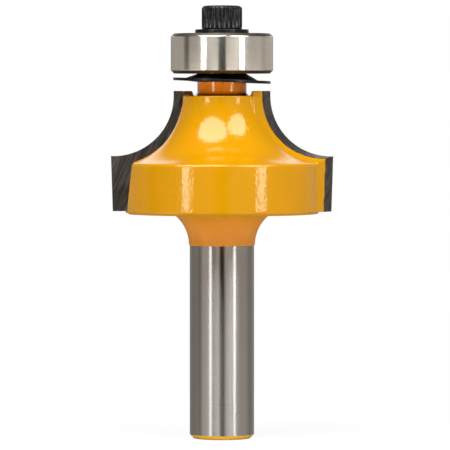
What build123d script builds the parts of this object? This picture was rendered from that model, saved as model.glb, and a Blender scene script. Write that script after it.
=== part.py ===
from build123d import *
import math
import os

# Two-flute round-over router bit, guided by a ball bearing. Millimetres.
# The origin is the centre of the shank's end face, +Z runs up the axis to the bearing,
# and the two wings lie along X. Seen from above, the bit cuts turning counter-clockwise.

# Shank, ground bright, and the painted neck above it
shank_dia = 8.0
shank_len = 24.0            # end face to paint line
shank_chamfer = 0.5
paint_step = 0.1            # the painted, unground steel stands this much proud
neck_radius = 4.8           # concave sweep from the neck out to the belt
neck_sweep = 54.3           # degrees of that sweep

# Cutting edge, in the plane of the rake face
pilot_edge_r = 6.0          # edge beside the bearing, from the axis
roundover_radius = 7.5
land_height = 0.6           # straight edge above the round-over
shelf_width = 0.3           # flat edge outside the round-over
edge_taper = 1.8            # degrees, the outer edge narrows downwards

# Round body between the wings: a belt and a concave cone
chip_limit = 0.95           # the cutting edge stands this much proud of the cone
belt_setback = 1.6          # and this much proud of the belt
belt_height = 6.3
belt_chamfer = 0.3
belt_break = 0.2            # broken edge between belt and cone
tip_step = 0.3              # the tips stop short of the belt's underside

# Carbide tips and the steel wings that back them
rake_setback = 0.8          # rake face behind the axis, which gives the tips their hook
tip_thick = 1.7
tip_width = 1.1             # across the round-over
tip_width_belt = 2.75       # across the outer edge
relief_angle = 29.0         # degrees, ground behind the cutting edge
relief_drop = 0.2           # the same relief, downwards, behind the flat edge
wing_thick = 1.1            # steel behind the carbide
wing_angle = 45.0           # degrees, how fast that steel falls back to the round body
wing_root_r = 3.7           # where the wing tops end beside the arbor, in a flat
wing_root_slope = 15.0      # degrees, of that flat

# Chip gullets, one in front of each tip
gullet_depth_top = 2.4      # from the cutting edge in to the root, at the top of the cone
gullet_depth_low = 4.7      # and at the underside of the belt
gullet_angle = 47.5         # degrees between the rake face and the leading wall
gullet_round = 0.8          # radius at the root

# Arbor that carries the bearing
arbor_dia = 6.1
arbor_len = 2.4
arbor_flare = 0.35          # at the foot, out to the flat top of the round body
arbor_chamfer = 0.2         # at the shoulder, inside the dust shield's cone
journal_gap = 0.01          # all round, between journal and inner ring
journal_short = 0.25        # the journal ends below the ring's top so that the washer clamps

# Pressed dust shield
shield_dia = 12.1
shield_sheet = 0.35
shield_cone_angle = 25.4    # degrees, of the cone between rim and boss
shield_rise = 0.7           # rim to boss, top faces
shield_seat_gap = 0.07      # between the arbor's chamfer and the cone
shield_gap = 0.05           # round the journal

# Guide bearing
bearing_od = 12.7
bearing_bore = 4.7625
bearing_width = 4.978
bearing_chamfer = 0.4
bore_chamfer = 0.2
ball_dia = 2.381
ball_count = 7
ball_flats = 16             # the hidden balls are made of flats, this many round
ball_bands = 8              # and this many from pole to pole
pitch_dia = 8.73
race_radius = 1.24          # of the grooves, a little more than the ball's
race_play = 0.02            # between ball and groove
inner_land_dia = 7.1
outer_land_dia = 10.4
cover_seat_dia = 11.2       # counterbore in the outer ring
cover_seat_depth = 0.75
cover_sheet = 0.2
cover_step = 0.2            # pressed outwards, clear of the cage
cover_flange = 0.35
cover_gap = 0.1             # all round the inner ring
snap_wire = 0.28            # square wire, sprung against the counterbore's wall
snap_opening = 24.0         # degrees
cage_sheet = 0.2
cage_width = 1.1            # radial
pocket_gap = 0.05           # between ball and pocket
pocket_flats = 8            # the ribbon bends round a ball in half as many flats

# Washer and socket screw
washer_dia = 6.65
washer_thick = 0.5
washer_bore_gap = 0.1
screw_dia = 3.0
screw_len = 8.0
screw_point = 0.4           # chamfer at its end
thread_gap = 0.05           # between screw and tapped hole
hole_spare = 1.2            # hole below the screw's end
drill_point_angle = 31.0    # degrees
head_dia = 5.05
head_height = 2.95
head_chamfer = 0.45
knurl_count = 26
knurl_depth = 0.22
knurl_ridge = 0.12          # width left at the rim between two valleys
knurl_plain = 0.3           # smooth collar under the knurl
socket_flats = 2.5
socket_depth = 1.5

# Cuts run past the metal by this much
overrun = 2.0

# Levels and radii worked out from the sizes above
edge_r = pilot_edge_r + roundover_radius + shelf_width
arc_r = pilot_edge_r + roundover_radius
body_arc = roundover_radius + chip_limit
belt_r = edge_r - belt_setback
neck_r = shank_dia / 2 + paint_step
belt_low = shank_len + neck_radius * math.sin(math.radians(neck_sweep))
neck_top_r = neck_r + neck_radius * (1 - math.cos(math.radians(neck_sweep)))
belt_top = belt_low + belt_height
body_top = belt_top + math.sqrt(body_arc**2 - (arc_r - belt_r) ** 2)
tip_low = belt_low + tip_step
tip_top = body_top + land_height
shoulder = body_top + arbor_len
bearing_low = shoulder + shield_sheet
bearing_mid = bearing_low + bearing_width / 2
bearing_top = bearing_low + bearing_width
washer_top = bearing_top + washer_thick
head_top = washer_top + head_height
journal_r = bearing_bore / 2 - journal_gap
journal_top = bearing_top - journal_short
ball_r = ball_dia / 2
pitch_r = pitch_dia / 2


def turned(*path):
    """Solid of revolution about Z from a closed outline of (radius, height) edges."""
    return revolve(Plane.XZ * make_face(list(path)), Axis.Z)


def round_body():
    """Shank, neck, belt, cone, arbor and journal, turned from one bar."""
    sweep_mid = math.radians(neck_sweep / 2)
    neck_mid = (
        neck_r + neck_radius * (1 - math.cos(sweep_mid)),
        shank_len + neck_radius * math.sin(sweep_mid),
    )
    cone_r = arc_r - body_arc
    foot = math.asin((arc_r - belt_r + belt_break) / body_arc)
    half = (foot + math.pi / 2) / 2
    cone_mid = (arc_r - body_arc * math.sin(half), body_top - body_arc * math.cos(half))
    cone_foot = (belt_r - belt_break, body_top - body_arc * math.cos(foot))
    lower = Polyline(
        (0, 0),
        (shank_dia / 2 - shank_chamfer, 0),
        (shank_dia / 2, shank_chamfer),
        (shank_dia / 2, shank_len),
        (neck_r, shank_len),
    )
    neck = ThreePointArc((neck_r, shank_len), neck_mid, (neck_top_r, belt_low))
    belt = Polyline(
        (neck_top_r, belt_low),
        (belt_r - belt_chamfer, belt_low),
        (belt_r, belt_low + belt_chamfer),
        (belt_r, belt_top - belt_break),
        cone_foot,
    )
    cone = ThreePointArc(cone_foot, cone_mid, (cone_r, body_top))
    arbor = Polyline(
        (cone_r, body_top),
        (arbor_dia / 2 + arbor_flare, body_top),
        (arbor_dia / 2, body_top + arbor_flare),
        (arbor_dia / 2, shoulder - arbor_chamfer),
        (arbor_dia / 2 - arbor_chamfer, shoulder),
        (journal_r, shoulder),
        (journal_r, journal_top),
        (0, journal_top),
        (0, 0),
    )
    return turned(lower, neck, belt, cone, arbor)


def edge_envelope(depth, shift_x, shift_z, inset_x=0.0, inset_z=0.0):
    """Everything inside the cutting edge, swept back from the rake face with its relief.

    The outline runs past the tip's top and bottom; the slab of the tip's height trims it.
    """
    high = tip_top + tip_thick + overrun
    low = tip_low - overrun
    shelf = body_top - roundover_radius
    low_r = edge_r - (shelf - low) * math.tan(math.radians(edge_taper))
    half = roundover_radius * math.sin(math.radians(45))
    top_run = Polyline((0, low), (0, high), (pilot_edge_r, high), (pilot_edge_r, body_top))
    edge_arc = ThreePointArc(
        (pilot_edge_r, body_top), (arc_r - half, body_top - half), (arc_r, shelf)
    )
    outer_run = Polyline((arc_r, shelf), (edge_r, shelf), (low_r, low), (0, low))
    outline = Plane.XZ * make_face([top_run, edge_arc, outer_run])
    outline = Pos(-inset_x, 0, -inset_z) * outline
    return Solid.extrude(outline.face(), Vector(-shift_x, -depth, -shift_z))


def tip_slab(depth):
    """The height of a tip, from its rake face back by a depth."""
    size = 2 * edge_r
    block = Box(size, depth, tip_top - tip_low, align=(Align.CENTER, Align.MAX, Align.MIN))
    return Pos(0, 0, tip_low) * block


def carbide_tip():
    """One brazed tip on the +X side, its rake face looking along +Y."""
    inner_arc = roundover_radius + tip_width
    inner_x = edge_r - tip_width_belt
    corner_z = body_top - math.sqrt(inner_arc**2 - (arc_r - inner_x) ** 2)
    top_x = arc_r - inner_arc
    start = math.asin((arc_r - inner_x) / inner_arc)
    half = (start + math.pi / 2) / 2
    mid = (arc_r - inner_arc * math.sin(half), body_top - inner_arc * math.cos(half))
    inner_run = ThreePointArc((inner_x, corner_z), mid, (top_x, body_top))
    rest = Polyline(
        (top_x, body_top),
        (top_x, tip_top),
        (edge_r, tip_top),
        (edge_r, tip_low),
        (inner_x, tip_low),
        (inner_x, corner_z),
    )
    blank = Solid.extrude((Plane.XZ * make_face([inner_run, rest])).face(), Vector(0, -tip_thick, 0))
    relief = tip_thick * math.tan(math.radians(relief_angle))
    ground = blank & edge_envelope(tip_thick, relief, relief_drop)
    return Pos(0, -rake_setback, 0) * ground


def steel_wing():
    """The steel that carries one tip, standing proud of the round body behind it."""
    relief = tip_thick * math.tan(math.radians(relief_angle))
    fall = wing_thick * math.tan(math.radians(wing_angle))
    beside = edge_envelope(tip_thick, relief, relief_drop)
    behind = edge_envelope(wing_thick, fall, fall / 2, relief, relief_drop)
    wing = (beside + Pos(0, -tip_thick, 0) * behind) & tip_slab(tip_thick + wing_thick)
    slope = math.tan(math.radians(wing_root_slope))
    beside_arbor = Polyline(
        (0, body_top),
        (wing_root_r - slope * land_height, body_top),
        (wing_root_r + slope * overrun, tip_top + overrun),
        (0, tip_top + overrun),
        (0, body_top),
    )
    gap = extrude(Plane.XZ * make_face(beside_arbor), edge_r, both=True)
    return Pos(0, -rake_setback, 0) * wing - gap


def gullet():
    """V-shaped chip space in front of the +X tip, its root leaning in towards the top."""
    root_low = edge_r - gullet_depth_low
    root_top = pilot_edge_r - gullet_depth_top
    lean = (root_top - root_low) / (body_top - belt_low)
    reach = 2 * belt_r
    opening = reach * math.tan(math.radians(gullet_angle))
    section = make_face(Polyline((0, 0), (reach, 0), (reach, opening), (0, 0)))
    section = fillet(section.vertices().sort_by(Axis.X)[0], gullet_round)
    # The rounded root stands back from the corner by this much along the rake face.
    back = gullet_round / math.tan(math.radians(gullet_angle / 2)) - gullet_round
    height = body_top - belt_low + overrun
    start = (root_low - lean * overrun - back, -rake_setback, belt_low - overrun)
    return Solid.extrude((Pos(*start) * section).face(), Vector(lean * height, 0, height))


def cutter_body():
    """The painted steel body with both wings, gullets, tip seats and its tapped hole."""
    body = round_body()
    for turn in (0, 180):
        body -= Rot(0, 0, turn) * gullet()
    for turn in (0, 180):
        body += Rot(0, 0, turn) * steel_wing()
    for turn in (0, 180):
        body -= Rot(0, 0, turn) * carbide_tip()
    hole_r = screw_dia / 2 + thread_gap
    hole_low = washer_top - screw_len - hole_spare
    drill_point = hole_r * math.tan(math.radians(drill_point_angle))
    hole = turned(
        Polyline(
            (0, hole_low - drill_point),
            (hole_r, hole_low),
            (hole_r, journal_top + overrun),
            (0, journal_top + overrun),
            (0, hole_low - drill_point),
        )
    )
    return body - hole


def dust_shield():
    """Pressed washer: flat rim, cone and a raised boss that meets only the inner ring."""
    rim_top = bearing_low - shield_rise
    bore_r = journal_r + shield_gap
    cone_angle = math.radians(shield_cone_angle)
    shift = shield_sheet * math.tan(cone_angle / 2)
    boss_r = arbor_dia / 2 - arbor_chamfer + shield_seat_gap + shift
    foot_r = boss_r + shield_rise / math.tan(cone_angle)
    return turned(
        Polyline(
            (bore_r, bearing_low),
            (boss_r, bearing_low),
            (foot_r, rim_top),
            (shield_dia / 2, rim_top),
            (shield_dia / 2, rim_top - shield_sheet),
            (foot_r - shift, rim_top - shield_sheet),
            (boss_r - shift, shoulder),
            (bore_r, shoulder),
            (bore_r, bearing_low),
        )
    )


def inner_ring():
    """Bearing inner ring with its ball groove."""
    groove_low_r = pitch_r - ball_r - race_play
    land_r = inner_land_dia / 2
    centre_r = groove_low_r + race_radius
    half = math.sqrt(race_radius**2 - (centre_r - land_r) ** 2)
    bore_r = bearing_bore / 2
    edge = bearing_width / 2
    groove = ThreePointArc((land_r, -half), (groove_low_r, 0), (land_r, half))
    rest = Polyline(
        (land_r, half),
        (land_r, edge),
        (bore_r + bore_chamfer, edge),
        (bore_r, edge - bore_chamfer),
        (bore_r, bore_chamfer - edge),
        (bore_r + bore_chamfer, -edge),
        (land_r, -edge),
        (land_r, -half),
    )
    return Pos(0, 0, bearing_mid) * turned(groove, rest)


def outer_ring():
    """Bearing outer ring: ball groove inside, a seat for a cover at each end."""
    groove_top_r = pitch_r + ball_r + race_play
    land_r = outer_land_dia / 2
    centre_r = groove_top_r - race_radius
    half = math.sqrt(race_radius**2 - (land_r - centre_r) ** 2)
    out_r = bearing_od / 2
    edge = bearing_width / 2
    seat_r = cover_seat_dia / 2
    seat = edge - cover_seat_depth
    inside = [
        (land_r, seat),
        (seat_r, seat),
        (seat_r, edge),
        (out_r - bearing_chamfer, edge),
        (out_r, edge - bearing_chamfer),
    ]
    mirrored = [(r, -z) for r, z in reversed(inside)]
    groove = ThreePointArc((land_r, -half), (groove_top_r, 0), (land_r, half))
    rest = Polyline((land_r, half), *inside, *mirrored, (land_r, -half))
    return Pos(0, 0, bearing_mid) * turned(groove, rest)


def cover(side):
    """Pressed cover: its flange lies on the seat, its face steps out clear of the cage."""
    low = bearing_width / 2 - cover_seat_depth
    rim_r = cover_seat_dia / 2
    step_r = rim_r - cover_flange
    hole_r = inner_land_dia / 2 + cover_gap
    disc = turned(
        Polyline(
            (hole_r, low + cover_step),
            (step_r - cover_sheet, low + cover_step),
            (step_r - cover_sheet, low),
            (rim_r, low),
            (rim_r, low + cover_sheet),
            (step_r, low + cover_sheet),
            (step_r, low + cover_step + cover_sheet),
            (hole_r, low + cover_step + cover_sheet),
            (hole_r, low + cover_step),
        )
    )
    return Pos(0, 0, bearing_mid) * (disc if side > 0 else mirror(disc, Plane.XY))


def snap_ring(side):
    """Open square-wire ring, sprung into the outer ring over the cover's flange."""
    low = bearing_width / 2 - cover_seat_depth + cover_sheet
    out_r = cover_seat_dia / 2
    in_r = out_r - snap_wire
    section = Polyline(
        (in_r, low), (out_r, low), (out_r, low + snap_wire), (in_r, low + snap_wire), (in_r, low)
    )
    wire = revolve(Plane.XZ * make_face(section), Axis.Z, 360 - snap_opening)
    return Pos(0, 0, bearing_mid) * (wire if side > 0 else mirror(wire, Plane.XY))


def ball(index):
    """One ball on the pitch circle."""

    def corner(band, flat):
        tilt = math.pi * band / ball_bands
        turn = 2 * math.pi * flat / ball_flats
        r = ball_r * math.sin(tilt)
        return (r * math.cos(turn), r * math.sin(turn), -ball_r * math.cos(tilt))

    faces = []
    for band in range(ball_bands):
        for flat in range(ball_flats):
            low = [corner(band, flat), corner(band, flat + 1)]
            high = [corner(band + 1, flat + 1), corner(band + 1, flat)]
            if band == 0:
                low = low[:1]
            if band == ball_bands - 1:
                high = high[:1]
            faces.append(make_face(Polyline(*low, *high, low[0])).face())
    angle = 360 * index / ball_count
    place = Pos(0, 0, bearing_mid) * Rot(0, 0, angle) * Pos(pitch_r, 0, 0)
    return place * Solid(Shell(faces))


def cage_half(side):
    """Pressed ribbon: a flat ring that bends over into half a pocket round each ball."""
    in_r = pitch_r - cage_width / 2
    pocket_r = ball_r + pocket_gap
    radial = Plane(origin=(in_r, 0, 0), x_dir=(0, 1, 0), z_dir=(1, 0, 0))
    turn = 180 / pocket_flats

    def pocket(apothem, length):
        flats = RegularPolygon(apothem, pocket_flats, major_radius=False, rotation=turn)
        return extrude(radial * flats, length)

    upper = (Align.CENTER, Align.CENTER, Align.MIN)
    tall = pocket_r + cage_sheet
    above = Box(4 * pitch_r, 4 * pitch_r, tall, align=upper)
    outer = pocket(tall, cage_width) & above
    inner = pocket(pocket_r, cage_width + overrun)
    inner = Pos(-overrun / 2, 0, 0) * inner
    ribbon = Cylinder(in_r + cage_width, cage_sheet, align=upper)
    ribbon -= Cylinder(in_r, 3 * tall)
    turns = [Rot(0, 0, 360 * i / ball_count) for i in range(ball_count)]
    ribbon += [turn_by * outer for turn_by in turns]
    ribbon -= [turn_by * inner for turn_by in turns]
    return Pos(0, 0, bearing_mid) * (ribbon if side > 0 else mirror(ribbon, Plane.XY))


def head_washer():
    """Thin washer that clamps the inner ring."""
    bore_r = screw_dia / 2 + washer_bore_gap
    washer = Cylinder(washer_dia / 2, washer_thick) - Cylinder(bore_r, 2 * washer_thick)
    return Pos(0, 0, bearing_top + washer_thick / 2) * washer


def bearing_screw():
    """Socket head cap screw with a straight knurl round its head."""
    tip_z = washer_top - screw_len
    shank_r = screw_dia / 2
    screw = turned(
        Polyline(
            (0, tip_z),
            (shank_r - screw_point, tip_z),
            (shank_r, tip_z + screw_point),
            (shank_r, washer_top),
            (head_dia / 2, washer_top),
            (head_dia / 2, head_top - head_chamfer),
            (head_dia / 2 - head_chamfer, head_top),
            (0, head_top),
            (0, tip_z),
        )
    )
    # Each valley of the knurl is a V that reaches its width at the rim of the head.
    valley_width = math.pi * head_dia / knurl_count - knurl_ridge
    low = washer_top + knurl_plain
    section = Polyline(
        (head_dia / 2 - knurl_depth, 0),
        (head_dia / 2 + knurl_depth, valley_width),
        (head_dia / 2 + knurl_depth, -valley_width),
        (head_dia / 2 - knurl_depth, 0),
    )
    valley = Pos(0, 0, low) * extrude(make_face(section), head_height)
    valleys = [Rot(0, 0, 360 * i / knurl_count) * valley for i in range(knurl_count)]
    hexagon = RegularPolygon(socket_flats / 2, 6, major_radius=False)
    socket = Pos(0, 0, head_top - socket_depth) * extrude(hexagon, socket_depth + overrun)
    return screw - valleys - socket


def write(name, shape):
    export_step(shape, f"parts/{name}.step")


os.makedirs("parts", exist_ok=True)
write("cutter_body", cutter_body())
for number, turn in enumerate((0, 180), start=1):
    write(f"carbide_tip_{number}", Rot(0, 0, turn) * carbide_tip())
write("dust_shield", dust_shield())
write("bearing_inner_ring", inner_ring())
write("bearing_outer_ring", outer_ring())
for number in range(ball_count):
    write(f"bearing_ball_{number + 1}", ball(number))
for name, side in (("lower", -1), ("upper", 1)):
    write(f"bearing_cage_{name}", cage_half(side))
    write(f"bearing_shield_{name}", cover(side))
    write(f"snap_ring_{name}", snap_ring(side))
write("head_washer", head_washer())
write("bearing_screw", bearing_screw())
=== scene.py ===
import cmath
import math

import bmesh
import bpy
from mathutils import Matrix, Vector


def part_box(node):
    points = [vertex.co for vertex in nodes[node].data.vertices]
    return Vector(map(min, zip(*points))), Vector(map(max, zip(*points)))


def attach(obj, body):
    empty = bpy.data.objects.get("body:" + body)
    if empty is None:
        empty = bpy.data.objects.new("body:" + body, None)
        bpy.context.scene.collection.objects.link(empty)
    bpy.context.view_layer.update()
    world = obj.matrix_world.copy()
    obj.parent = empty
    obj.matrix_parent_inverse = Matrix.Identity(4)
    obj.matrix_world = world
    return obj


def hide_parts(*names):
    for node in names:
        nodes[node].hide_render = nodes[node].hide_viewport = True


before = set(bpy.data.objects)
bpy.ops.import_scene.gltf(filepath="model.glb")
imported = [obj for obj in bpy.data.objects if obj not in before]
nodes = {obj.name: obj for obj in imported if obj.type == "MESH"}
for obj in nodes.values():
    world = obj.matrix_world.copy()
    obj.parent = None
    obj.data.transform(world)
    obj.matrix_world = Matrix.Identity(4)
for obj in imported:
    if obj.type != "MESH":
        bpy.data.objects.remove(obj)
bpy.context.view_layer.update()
mm = 0.001

# --------------------------------------------------------------------------------------
# The cutter body, from the paint line up: one piece of turned and milled steel, dipped
# in thick gloss enamel. The paint draws back a little from every edge and softens it,
# and the journal above the shoulder stays bare, because the bearing sits on it.
# --------------------------------------------------------------------------------------
paint_line = 24.0 * mm          # end of the ground shank
paint_overlap = 0.05 * mm       # the body is cut this far under the paint line
neck_high = 28.6 * mm           # painted shade: the neck is coloured redder from here
neck_low = 26.6 * mm            # and fully so below here
body_top = 42.55 * mm           # flat top of the round body
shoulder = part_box("dust_shield")[0].z
arbor_radius = 3.05 * mm
arbor_flare = 0.35 * mm         # at the arbor's foot
arbor_foot = 3.6 * mm           # painted shade darkens the corner round this radius; the arbor's colour starts inside it
root_inner = 3.3 * mm           # the wings' roots carry painted shade from here
root_outer = 5.6 * mm           # out to here
root_fade = 0.2 * mm            # over this height the painted shade and the arbor's colour fade in at the flat top
belt_orange = (0.405, 0.185, 0.0004)
# Painted shade: the neck's redder orange.
neck_shade_orange = (0.66, 0.20, 0.0004)
# Painted shade and light: the arbor's orange is redder, as in shade, and brighter, to
# make up for the bearing's shadow.
arbor_shade_orange = (1.0, 0.24, 0.0004)
# Painted light: the end's paler, brighter orange.
end_light_orange = (0.70, 0.40, 0.02)
# Painted shade: the deep red of the wings' roots and of the corner round the arbor.
root_shade_red = (0.11, 0.025, 0.001)
film_tint = (1.0, 0.95, 0.74, 1)    # of what the film reflects
journal_colour = (0.56, 0.52, 0.47)
least_dull = 0.08               # roughness of the film at its smoothest
orange_peel = 0.022 * mm        # height of the film's waviness
film_step = 0.1 * mm            # the size of the film's own mesh
film_softening = 9              # smoothing passes that round the painted edges
film_share = 0.42               # of its faces, which is what thinning leaves
file_clear = 0.002 * mm         # the file stops this far short of the metal that stays
file_high = body_top + 0.9 * mm     # it reaches up to here
file_wide = 4.6 * mm            # and out to here
lip_start = 212                 # degrees, and how far round each lip can reach
lip_sweep = 66
lip_section = (                 # what the file takes: distance from the axis, height
    (arbor_radius + arbor_flare, body_top + file_clear),
    (arbor_radius + file_clear, body_top + arbor_flare),
    (arbor_radius + file_clear, file_high),
    (file_wide, file_high),
    (file_wide, body_top + file_clear),
)


class Wire:
    """One output of a shader node; sums and products of wires add Math nodes."""

    def __init__(self, tree, socket=None):
        self.tree = tree
        self.socket = socket

    def node(self, kind, settings=(), sockets=(), output=0):
        """Adds a node: its settings first, then the value or wire of each socket."""
        made = self.tree.nodes.new("ShaderNode" + kind)
        for name, value in dict(settings).items():
            if name == "stops":
                ramp = made.color_ramp.elements
                while len(ramp) < len(value):
                    ramp.new(0.5)
                for stop, (place, colour) in zip(ramp, value):
                    stop.position = place
                    stop.color = colour
            else:
                setattr(made, name, value)
        for name, value in dict(sockets).items():
            if isinstance(value, Wire):
                self.tree.links.new(value.socket, made.inputs[name])
            else:
                made.inputs[name].default_value = value
        return Wire(self.tree, made.outputs[output])

    def math(self, operation, first, second=0.0):
        """One Math node on two wires or numbers."""
        return self.node("Math", {"operation": operation}, {0: first, 1: second})

    def __add__(self, other):
        return self.math("ADD", self, other)

    def __sub__(self, other):
        return self.math("SUBTRACT", self, other)

    def __rsub__(self, other):
        return self.math("SUBTRACT", other, self)

    def __mul__(self, other):
        return self.math("MULTIPLY", self, other)

    __radd__ = __add__
    __rmul__ = __mul__

    def rise(self, low, high):
        """0 below low, 1 above high, and smooth in between."""
        return self.node(
            "MapRange",
            {"interpolation_type": "SMOOTHSTEP"},
            {"Value": self, "From Min": low, "From Max": high},
        )

    def axes(self):
        """The three parts of a vector."""
        first = self.node("SeparateXYZ", (), {0: self})
        parts = first.socket.node.outputs
        return [Wire(self.tree, part) for part in parts]

    def stretched(self, x, y, z):
        """A vector scaled by so much along each axis."""
        sockets = {0: self, 1: (x, y, z)}
        return self.node("VectorMath", {"operation": "MULTIPLY"}, sockets)

    def noise(self, scale, detail=2.0, roughness=0.5):
        """Noise read at this vector, about 0.5, with this many lumps to the metre."""
        sockets = {"Vector": self, "Scale": scale, "Detail": detail}
        sockets["Roughness"] = roughness
        return self.node("TexNoise", (), sockets)

    def tint(self, none, full):
        """A colour that goes from one to another with this mask."""
        sockets = {0: self}
        for index, colour in ((6, none), (7, full)):
            sockets[index] = colour if isinstance(colour, Wire) else (*colour, 1)
        return self.node("Mix", {"data_type": "RGBA"}, sockets, output=2)


def finish(name, **same_all_over):
    """A new surface finish: its shader and the place on the piece, in metres."""
    material = bpy.data.materials.new(name)
    material.use_nodes = True
    tree = material.node_tree
    shader = tree.nodes["Principled BSDF"]
    for name_of_socket, value in same_all_over.items():
        socket = name_of_socket.replace("_", " ").title().replace("Ior", "IOR")
        shader.inputs[socket].default_value = value
    place = Wire(tree).node("TexCoord", output=3)
    return material, shader, place


def lay_on(shader, socket, wire):
    """Lets a wire drive one socket of a finish."""
    wire.tree.links.new(wire.socket, shader.inputs[socket])


def relief(shader, height, depth):
    """Bumps as deep as this, in metres."""
    sockets = {"Height": height, "Distance": depth, "Strength": 1.0}
    lay_on(shader, "Normal", height.node("Bump", (), sockets))


def coat(piece, *materials):
    """Gives a piece its finishes, one per material slot."""
    piece.data.materials.clear()
    for material in materials:
        piece.data.materials.append(material)


def bare_steel(name, colour, grain, depth, dullness, drawn=0.0):
    """Steel turned or ground, with fine lines round it.

    The grain is in lines to the metre. The lines draw reflections up and down.
    """
    quarter_turn = 0.25         # lays the lines level
    material, shader, place = finish(
        name, metallic=1.0, anisotropic=drawn, anisotropic_rotation=quarter_turn
    )
    lines = place.stretched(0.02, 0.02, 1).noise(grain, 3.0, 0.6)
    cloud = place.noise(600, 3.0)
    dim = tuple(0.84 * part for part in colour)
    keen = tuple(min(1.0, 1.16 * part) for part in colour)
    lay_on(shader, "Base Color", (0.7 * lines + 0.3 * cloud).tint(dim, keen))
    lay_on(shader, "Roughness", dullness * (0.8 + 0.4 * lines))
    relief(shader, lines, depth)
    return material


def smooth(piece):
    """Shades a piece as one curved surface."""
    for face in piece.data.polygons:
        face.use_smooth = True


def add_piece(name, mesh, body="cutter"):
    """A mesh of the scene's own that rides on a body."""
    piece = bpy.data.objects.new(name, mesh)
    bpy.context.scene.collection.objects.link(piece)
    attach(piece, body)
    return piece


def settle(piece):
    """Applies a piece's modifiers, so that its mesh is what shows."""
    shape = piece.evaluated_get(bpy.context.evaluated_depsgraph_get())
    mesh = bpy.data.meshes.new_from_object(shape)
    piece.modifiers.clear()
    piece.data = mesh


orange, shader, place = finish("orange_enamel", ior=1.5, specular_tint=film_tint)
x, y, height = place.axes()
from_axis = x * x + y * y       # squared, like the radii that it is held against

# Painted shade: below the belt the neck is coloured a redder orange; the same mask
# makes it rougher.
neck_shade_mask = height.rise(neck_high, neck_low)
neck_shade_mask *= height.rise(paint_line - 4 * mm, paint_line - 2 * mm)
cloudy = place.noise(180, 2.0).rise(0.35, 0.75)
tone_and_neck_shade = (0.12 * cloudy + 0.6 * neck_shade_mask).tint(belt_orange, neck_shade_orange)

# Painted shade and light: on the arbor the orange is redder and brighter, standing in
# for its place under the bearing.
on_arbor = from_axis.rise(arbor_foot ** 2, (0.94 * arbor_foot) ** 2)
on_arbor *= height.rise(body_top, body_top + root_fade)
upper = (0.94 * on_arbor).tint(tone_and_neck_shade, arbor_shade_orange)

# Painted shade: at the flat top the wings' roots and the corner round the arbor's foot
# are coloured deep red.
on_roots = (x * x).rise(root_inner ** 2, (1.09 * root_inner) ** 2)
on_roots *= from_axis.rise(root_outer ** 2, (0.89 * root_outer) ** 2)
crease = from_axis.rise((0.86 * arbor_foot) ** 2, (0.9 * arbor_foot) ** 2)
crease *= from_axis.rise((1.05 * arbor_foot) ** 2, arbor_foot ** 2)
root_and_corner_shade = (0.8 * on_roots + 0.7 * crease) * height.rise(body_top - root_fade, body_top)
shaded = root_and_corner_shade.tint(upper, root_shade_red)

# Painted light: the chamfered end is coloured paler and brighter where it stands in
# shade by the table.
end_light_mask = height.rise(3 * mm, 1 * mm)
lay_on(shader, "Base Color", (0.8 * end_light_mask).tint(shaded, end_light_orange))
lay_on(shader, "Roughness", least_dull + 0.07 * place.noise(900, 3.0) + 0.3 * neck_shade_mask)
relief(shader, place.noise(2200, 2.0), orange_peel)
journal_steel = bare_steel(
    "turned_journal_steel", journal_colour, grain=12000, depth=0.001 * mm, dullness=0.2
)

# The solid body has a small lip of wing stock against the arbor, a quarter turn behind
# each tip, that the real one lacks. It is filed down to the arbor's flare and the flat
# top before the body is dipped.
file = bmesh.new()
for first_turn in (lip_start, lip_start + 180):
    rings = []
    for degree in range(lip_sweep + 1):
        turn = math.radians(first_turn + degree)
        rings.append([
            file.verts.new((across * math.cos(turn), across * math.sin(turn), up))
            for across, up in lip_section
        ])
    file.faces.new(rings[0])
    file.faces.new(rings[-1][::-1])
    for ring, following in zip(rings, rings[1:]):
        for corner in range(len(lip_section)):
            other = (corner + 1) % len(lip_section)
            side = (ring[corner], following[corner], following[other], ring[other])
            file.faces.new(side)
bmesh.ops.recalc_face_normals(file, faces=file.faces)
file_mesh = bpy.data.meshes.new("file")
file.to_mesh(file_mesh)
file.free()
filed_away = bpy.data.objects.new("file", file_mesh)
bpy.context.scene.collection.objects.link(filed_away)

steel = bmesh.new()
steel.from_mesh(nodes["cutter_body"].data)
bmesh.ops.remove_doubles(steel, verts=steel.verts, dist=0.0005 * mm)
bmesh.ops.bisect_plane(
    steel,
    geom=steel.verts[:] + steel.edges[:] + steel.faces[:],
    plane_co=(0, 0, paint_line - paint_overlap),
    plane_no=(0, 0, 1),
    clear_inner=True,
)
bmesh.ops.holes_fill(steel, edges=[edge for edge in steel.edges if edge.is_boundary])
body_mesh = bpy.data.meshes.new("painted_cutter_body")
steel.to_mesh(body_mesh)
steel.free()
painted_body = add_piece("painted_cutter_body", body_mesh)
filed = painted_body.modifiers.new("filed", "BOOLEAN")
filed.operation = "DIFFERENCE"
filed.solver = "EXACT"
filed.object = filed_away
film = painted_body.modifiers.new("film", "REMESH")
film.mode = "VOXEL"
film.voxel_size = film_step
softened = painted_body.modifiers.new("softened", "SMOOTH")
softened.factor = 0.5
softened.iterations = film_softening
thinned = painted_body.modifiers.new("thinned", "DECIMATE")
thinned.ratio = film_share
settle(painted_body)
bpy.data.objects.remove(filed_away)
smooth(painted_body)
coat(painted_body, orange, journal_steel)
for face in painted_body.data.polygons:
    face.material_index = int(face.center.z > shoulder)
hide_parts("cutter_body")

# --------------------------------------------------------------------------------------
# The shank: the same bar, centreless ground to 8 mm and left bright for the collet. Its
# end is chamfered and was dipped with the rest, so the chamfer and end face are orange.
# --------------------------------------------------------------------------------------
shank_radius = 4.0 * mm
chamfer = 0.5 * mm
edge_round = 0.06 * mm          # at both edges of the chamfer
tucked_in = 1.0 * mm            # how far the ground steel runs on under the paint
round_steps = 192               # faces round a turned piece
shank_colour = (0.40, 0.39, 0.375)


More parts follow.
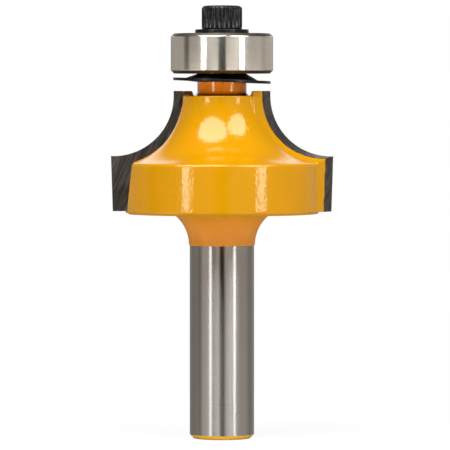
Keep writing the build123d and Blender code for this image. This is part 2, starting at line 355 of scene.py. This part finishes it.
def lathe(name, outline, steps=round_steps, closed=False):
    """A mesh turned about Z from (radius, height) points.

    A radius may also be a function of the angle.
    """
    turned = bmesh.new()
    rings = []
    for radius, height in outline:
        if radius == 0:
            rings.append([turned.verts.new((0, 0, height))] * steps)
            continue
        ring = []
        for step in range(steps):
            turn = 2 * math.pi * step / steps
            reach = radius(turn) if callable(radius) else radius
            point = (reach * math.cos(turn), reach * math.sin(turn), height)
            ring.append(turned.verts.new(point))
        rings.append(ring)
    if closed:
        rings.append(rings[0])
    for low, high in zip(rings, rings[1:]):
        for step in range(steps):
            after = (step + 1) % steps
            corners = dict.fromkeys((low[step], low[after], high[after], high[step]))
            turned.faces.new(list(corners))
    bmesh.ops.recalc_face_normals(turned, faces=turned.faces)
    mesh = bpy.data.meshes.new(name)
    turned.to_mesh(mesh)
    turned.free()
    return mesh


def rounded(corner, before, after, radius, steps=4):
    """Points of the arc that rounds a corner of an outline, held as complex numbers."""
    corner, before, after = complex(*corner), complex(*before), complex(*after)
    one = (before - corner) / abs(before - corner)
    two = (after - corner) / abs(after - corner)
    half = abs(cmath.phase(two / one)) / 2
    reach = radius / math.tan(half)
    centre = corner + (one + two) / abs(one + two) * radius / math.sin(half)
    first = corner + one * reach - centre
    swept = cmath.phase((corner + two * reach - centre) / first)
    turns = [swept * step / steps for step in range(steps + 1)]
    points = [centre + first * cmath.exp(1j * turn) for turn in turns]
    return [(point.real, point.imag) for point in points]


def ring_of(name, body, corners, radius, *materials):
    """A turned ring whose closed outline has all its corners rounded."""
    outline = []
    for index, corner in enumerate(corners):
        after = corners[(index + 1) % len(corners)]
        outline += rounded(corner, corners[index - 1], after, radius)
    piece = add_piece(name, lathe(name, outline, closed=True), body)
    smooth(piece)
    coat(piece, *materials)
    return piece


ground_steel = bare_steel(
    "ground_shank_steel",
    shank_colour,
    grain=16000,
    depth=0.0002 * mm,
    dullness=0.30,
    drawn=1.0,
)

end_corner = (shank_radius - chamfer, 0.0)
side_corner = (shank_radius, chamfer)
shank_top = (shank_radius, paint_line + tucked_in)
outline = [(0.0, 0.0)]
outline += rounded(end_corner, (0.0, 0.0), side_corner, edge_round)
outline += rounded(side_corner, end_corner, shank_top, edge_round)
shank = add_piece("ground_shank", lathe("ground_shank", outline + [shank_top]))
smooth(shank)
coat(shank, ground_steel, orange)
for face in shank.data.polygons:
    face.material_index = int(face.center.z < chamfer)

# --------------------------------------------------------------------------------------
# Two carbide tips, brazed into seats in the wings and ground with diamond wheels, which
# leave steep streaks on the rake faces.
# --------------------------------------------------------------------------------------
streak_lean = math.radians(24)  # of the wheel's streaks, from upright
streak_run = 0.05               # how much slower they change along than across
streak_depth = 0.004 * mm
dark_carbide = (0.028, 0.024, 0.021)
pale_carbide = (0.112, 0.10, 0.09)

carbide, shader, place = finish("ground_carbide", metallic=0.7)
x, y, z = place.axes()
across = x * math.cos(streak_lean) - z * math.sin(streak_lean)
along = x * math.sin(streak_lean) + z * math.cos(streak_lean)
wheel = place.node("CombineXYZ", (), {0: across, 1: y, 2: along * streak_run})
streaks = 0.7 * wheel.noise(5200, 3.0, 0.65) + 0.3 * wheel.noise(1300, 1.0)
lay_on(shader, "Base Color", streaks.rise(0.36, 0.66).tint(dark_carbide, pale_carbide))
lay_on(shader, "Roughness", 0.30 + 0.2 * place.noise(700, 2.0))
relief(shader, streaks, streak_depth)
for number in (1, 2):
    coat(nodes[f"carbide_tip_{number}"], carbide)

# --------------------------------------------------------------------------------------
# The dust shield: pressed from thin sheet, a flat rim and a cone that rises to a boss.
# It was blackened in hot oxide salts, and it meets only the inner ring.
# --------------------------------------------------------------------------------------
shield_low, shield_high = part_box("dust_shield")
sheet = 0.35 * mm
rim_top = shield_high.z - 0.7 * mm
boss_radius = 3.0 * mm          # edge of the flat boss
foot_radius = 4.48 * mm         # where the cone meets the rim
cone_shift = 0.08 * mm          # between the cone's two faces, measured level
journal_clear = 2.43 * mm       # radius of the bore
shield_round = 0.05 * mm
askew = math.radians(2.2)       # the clamped boss lies true, the thin rim does not
oxide_black = (0.009, 0.009, 0.010)
worn_oxide = (0.035, 0.035, 0.037)
oxide_grain = 0.0006 * mm


def oxide(name, rubbed):
    """Hot-oxide black: almost black steel, uneven, and rubbed where it is handled."""
    material, shader, place = finish(name, metallic=0.8)
    uneven = place.noise(1500, 4.0, 0.6)
    lay_on(shader, "Base Color", uneven.rise(0.3, 0.8).tint(oxide_black, rubbed))
    lay_on(shader, "Roughness", 0.24 + 0.12 * uneven)
    relief(shader, place.noise(4000, 2.0), oxide_grain)
    return material


black = oxide("black_oxide", worn_oxide)
shield = ring_of("pressed_dust_shield", "cutter", [
    (journal_clear, shield_high.z),
    (boss_radius, shield_high.z),
    (foot_radius, rim_top),
    (shield_high.x, rim_top),
    (shield_high.x, rim_top - sheet),
    (foot_radius - cone_shift, rim_top - sheet),
    (boss_radius - cone_shift, shield_low.z),
    (journal_clear, shield_low.z),
], shield_round, black)
for corner in shield.data.vertices:
    outward = (corner.co.xy.length - boss_radius) / (foot_radius - boss_radius)
    corner.co.z -= corner.co.x * math.tan(askew) * max(0.0, min(1.0, outward))
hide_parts("dust_shield")

# --------------------------------------------------------------------------------------
# The guide bearing: hardened chrome steel rings, ground and polished, seven balls in a
# riveted cage, and a pressed cover held in each end by a sprung wire.
# --------------------------------------------------------------------------------------
ring_low, ring_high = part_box("bearing_outer_ring")
cover_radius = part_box("bearing_shield_upper")[1].x
land_radius = 5.2 * mm          # bore of the ring between the covers
seat_depth = 0.75 * mm          # of the step that a cover lies on
ring_chamfer = 0.4 * mm
ring_round = 0.09 * mm
polish_depth = 0.06 * mm        # what lies further in than this was only turned, and its colour holds painted shade
ball_count = 7
ring_colour = (0.92, 0.87, 0.80)
# Dark: partly the duller turned finish, partly painted shade.
turned_edge_and_shade_colour = (0.14, 0.12, 0.10)
cover_colour = (0.60, 0.57, 0.52)

ring_steel = bare_steel(
    "polished_ring_steel",
    ring_colour,
    grain=14000,
    depth=0.00015 * mm,
    dullness=0.19,
    drawn=0.93,
)
turned_and_shaded_steel = bare_steel(
    "turned_and_shaded_edge_steel", turned_edge_and_shade_colour, grain=9000, depth=0.002 * mm, dullness=0.45
)
outer_ring = ring_of("polished_outer_ring", "guide_ring", [
    (land_radius, ring_high.z - seat_depth),
    (cover_radius, ring_high.z - seat_depth),
    (cover_radius, ring_high.z),
    (ring_high.x - ring_chamfer, ring_high.z),
    (ring_high.x, ring_high.z - ring_chamfer),
    (ring_high.x, ring_low.z + ring_chamfer),
    (ring_high.x - ring_chamfer, ring_low.z),
    (cover_radius, ring_low.z),
    (cover_radius, ring_low.z + seat_depth),
    (land_radius, ring_low.z + seat_depth),
], ring_round, ring_steel, turned_and_shaded_steel)
for face in outer_ring.data.polygons:
    face.material_index = int(face.center.xy.length < ring_high.x - polish_depth)
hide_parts("bearing_outer_ring")

pressed = bare_steel(
    "pressed_cover_steel", cover_colour, grain=6000, depth=0.001 * mm, dullness=0.2
)
coat(nodes["bearing_inner_ring"], ring_steel)
for side in ("lower", "upper"):
    for name in ("bearing_shield", "snap_ring", "bearing_cage"):
        coat(nodes[f"{name}_{side}"], pressed)
for number in range(1, ball_count + 1):
    coat(nodes[f"bearing_ball_{number}"], ring_steel)

# --------------------------------------------------------------------------------------
# The washer and the socket screw that clamp the inner ring: turned washer, cold-headed
# screw with a straight rolled knurl, both in black oxide, rubbed bright on the ridges.
# --------------------------------------------------------------------------------------
washer_low, washer_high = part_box("head_washer")
washer_bore = 1.6 * mm
washer_round = 0.08 * mm
washer = ring_of("clamping_washer", "cutter", [
    (washer_bore, washer_low.z),
    (washer_high.x, washer_low.z),
    (washer_high.x, washer_high.z),
    (washer_bore, washer_high.z),
], washer_round, black)
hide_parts("head_washer")

screw_low, screw_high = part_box("bearing_screw")
head_radius = 2.525 * mm
ridges = 26
ridge_depth = 0.2 * mm
collar = 0.3 * mm               # plain ring under the knurl
collar_radius = head_radius - 0.04 * mm
collar_break = 0.06 * mm        # its lower edge is broken
knurl_run_in = 0.1 * mm         # the knurl starts over this height
head_shoulder = 0.5 * mm        # radius that rounds the head into its flat top
shoulder_steps = 8
head_steps = ridges * 12        # divides by six, so the socket's corners fall on a step
across_flats = 2.5 * mm
socket_depth = 1.5 * mm
socket_lip = 0.12 * mm          # broken edge at the socket's mouth
socket_cone = 0.3 * mm          # left by the drill at the bottom
rubbed_oxide = (0.05, 0.05, 0.052)


def ridge(turn):
    """The knurl's radius: round ridges with sharp valleys between them."""
    return head_radius - ridge_depth * (1 - abs(math.sin(ridges * turn / 2)))


def within(limit):
    """The knurl cut back to a limit, as the head's rounded shoulder does."""
    return lambda turn: min(ridge(turn), limit)


def hexagon(turn):
    """The radius of the socket's wall."""
    off_flat = (turn + math.pi / 6) % (math.pi / 3) - math.pi / 6
    return across_flats / 2 / math.cos(off_flat)


head_outline = [
    (washer_bore, washer_high.z),
    (collar_radius - collar_break, washer_high.z),
    (collar_radius, washer_high.z + collar_break),
    (collar_radius, washer_high.z + collar - knurl_run_in),
    (ridge, washer_high.z + collar),
    (ridge, screw_high.z - head_shoulder),
]
for step in range(1, shoulder_steps + 1):
    tilt = math.radians(90 * step / shoulder_steps)
    limit = head_radius - head_shoulder * (1 - math.cos(tilt))
    height = screw_high.z - head_shoulder * (1 - math.sin(tilt))
    head_outline.append((within(limit), height))
head_outline += [
    (lambda turn: hexagon(turn) + socket_lip, screw_high.z),
    (hexagon, screw_high.z - socket_lip),
    (hexagon, screw_high.z - socket_depth),
    (0, screw_high.z - socket_depth - socket_cone),
]
head_mesh = lathe("knurled_screw_head", head_outline, head_steps)
head = add_piece("knurled_screw_head", head_mesh)
smooth(head)
coat(head, oxide("rubbed_black_oxide", rubbed_oxide))
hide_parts("bearing_screw")

thread_radius = 1.5 * mm
thread_pitch = 0.5 * mm
thread_depth = 0.27 * mm
thread_steps = 48
rises_per_turn = 6


def thread(level):
    """The radius at one level of a thread: it goes in and out once each turn."""
    def reach(turn):
        along = (level / thread_pitch + turn / (2 * math.pi)) % 1
        return thread_radius - thread_depth * abs(2 * along - 1)
    return reach


levels = int((washer_high.z - screw_low.z) / thread_pitch * rises_per_turn)
thread_outline = [(0, screw_low.z)]
for step in range(levels):
    level = screw_low.z + step * thread_pitch / rises_per_turn
    thread_outline.append((thread(level), level))
thread_outline.append((thread_radius - thread_depth, washer_high.z))
thread_mesh = lathe("screw_thread", thread_outline, thread_steps)
threaded = add_piece("screw_thread", thread_mesh)
smooth(threaded)
coat(threaded, black)

# --------------------------------------------------------------------------------------
# The table it stands on and the studio round it: a white sweep, two upright strip
# boxes, two round boxes overhead, pale walls behind low boards, a bright backdrop, and
# a dark slot where the camera looks in.
# --------------------------------------------------------------------------------------
table_reach = 1.5
table_top = -0.02 * mm          # just under the shank's end, to keep the faces apart
sweep_grey = 0.75
near, far = 0.03, 0.2           # the sweep fades to plain white between these distances
shadow_share = 0.12             # how much of the shadow shows beside the bit
table_mesh = bpy.data.meshes.new("table")
table_mesh.from_pydata([
    (-table_reach, -table_reach, table_top),
    (table_reach, -table_reach, table_top),
    (table_reach, table_reach, table_top),
    (-table_reach, table_reach, table_top),
], [], [(0, 1, 2, 3)])
table = bpy.data.objects.new("table", table_mesh)
bpy.context.scene.collection.objects.link(table)
table.visible_glossy = False
sweep, shader, place = finish(
    "white_sweep", base_color=(sweep_grey, sweep_grey, sweep_grey, 1), roughness=0.9
)
tree = sweep.node_tree
seen = place.node("LightPath")
glow = place.node("Emission", (), {"Color": (1, 1, 1, 1), "Strength": 1.0})
reach = place.node("VectorMath", {"operation": "LENGTH"}, {0: place}, output=1)
blank = seen * (1 - shadow_share + shadow_share * reach.rise(near, far))
lit = Wire(tree, shader.outputs[0])
shown = place.node("MixShader", (), {0: blank, 1: lit, 2: glow})
tree.links.new(shown.socket, tree.nodes["Material Output"].inputs["Surface"])
coat(table, sweep)

world = bpy.data.worlds.new("studio")
bpy.context.scene.world = world
world.use_nodes = True
tree = world.node_tree
around = Wire(tree).node("TexCoord", output=0)
x, y, z = around.axes()
bearing_angle = around.math("ARCTAN2", x, y * -1.0) * (0.5 / math.pi) + 0.5


def stop(degrees, level):
    """How bright the surroundings are in one direction; 0 degrees is at the camera."""
    return (degrees / 360 + 0.5, (level, level, level, 1))


walls = bearing_angle.node("ValToRGB", {"stops": [
    stop(-180, 0.26),
    stop(-130, 0.37),
    stop(-98, 0.35),
    stop(-91, 0.10),
    stop(-82, 0.06),
    stop(-79, 0.27),
    stop(-50, 0.29),
    stop(-30, 0.40),
    stop(-9, 0.38),
    stop(-6, 0.01),
    stop(7, 0.01),
    stop(10, 0.52),
    stop(34, 0.50),
    stop(56, 0.38),
    stop(97, 0.44),
    stop(103, 0.36),
    stop(113, 0.36),
    stop(120, 0.44),
    stop(150, 0.44),
    stop(180, 0.26),
]}, {0: bearing_angle})
low_boards = bearing_angle.node("ValToRGB", {"stops": [
    stop(-150, 0.12),
    stop(-110, 0.30),
    stop(-82, 0.55),
    stop(-76, 1.00),
    stop(-52, 1.00),
    stop(-45, 0.20),
    stop(-36, 0.20),
    stop(-18, 0.85),
    stop(-10, 0.90),
    stop(-8, 0.01),
    stop(9, 0.01),
    stop(12, 0.80),
    stop(36, 0.80),
    stop(42, 0.10),
    stop(54, 0.10),
    stop(60, 0.70),
    stop(90, 0.60),
    stop(112, 0.45),
    stop(125, 0.12),
]}, {0: bearing_angle})
wall_share = 0.5                # the walls stand further off than the boards
board_light = (2.0, 1.81, 1.64)
dark_room = (0.08, 0.08, 0.08)
backdrop_glow = (1.3, 1.3, 1.3)
far_up_or_down = z.rise(0.2, 0.45) + z.rise(-0.5, -0.8)
below = z.rise(-0.1, -0.3)
backdrop = y.rise(0.75, 0.93) * z.rise(0.08, 0.2) * (1 - z.rise(0.62, 0.9))
sides = below.tint(wall_share * walls, low_boards).tint((0, 0, 0), board_light)
room = backdrop.tint(far_up_or_down.tint(sides, dark_room), backdrop_glow)
seen = around.node("LightPath")
shown = seen.tint(room, (1, 1, 1))
back = tree.nodes["Background"]
tree.links.new(shown.socket, back.inputs["Color"])
back.inputs["Strength"].default_value = 1.0


def lamp(
    name, azimuth, elevation, distance, width, tall, brightness, shape="RECTANGLE"
):
    """A soft box aimed at the bit. Azimuth 0 is at the camera, elevation 0 is level."""
    light = bpy.data.lights.new(name, "AREA")
    light.shape = shape
    light.size = width
    light.size_y = tall
    area = width * tall * (math.pi / 4 if shape == "ELLIPSE" else 1.0)
    light.energy = brightness * math.pi * area
    box = bpy.data.objects.new(name, light)
    bpy.context.scene.collection.objects.link(box)
    turn, lift = math.radians(azimuth), math.radians(elevation)
    level = math.cos(lift)
    away = Vector((math.sin(turn) * level, -math.cos(turn) * level, math.sin(lift)))
    box.location = lamp_aim + distance * away
    box.rotation_euler = (-away).to_track_quat("-Z", "Y").to_euler()


lamp_aim = Vector((0, 0, 36 * mm))
strip_light = 9.0               # for each square metre, as overhead_light is
overhead_light = 8.6
lamp("left_strip", -41.5, 3.5, 0.45, 0.07, 0.13, strip_light)
lamp("right_strip", 46.2, 3.5, 0.45, 0.07, 0.13, strip_light)
lamp("left_overhead", -32, 57, 0.35, 0.33, 0.30, overhead_light, "ELLIPSE")
lamp("right_overhead", 47, 46, 0.35, 0.24, 0.24, overhead_light, "ELLIPSE")

# --------------------------------------------------------------------------------------
# The camera: a long lens, level with the top of the body and aimed half-way up the bit.
# Its lens is set by the width of the view at the axis.
# --------------------------------------------------------------------------------------
camera_away = 0.520
camera_height = 0.043
frame_side = 55.9 * mm          # width of the view, at the axis
aim = Vector((0.38 * mm, 0, 26.5 * mm))
camera_data = bpy.data.cameras.new("camera")
camera = bpy.data.objects.new("camera", camera_data)
bpy.context.scene.collection.objects.link(camera)
camera.location = (aim.x, -camera_away, camera_height)
sight = aim - camera.location
camera.rotation_euler = sight.to_track_quat("-Z", "Y").to_euler()
camera_data.lens = camera_data.sensor_width * sight.length / frame_side
bpy.context.scene.camera = camera
bpy.context.scene.view_settings.view_transform = "Standard"
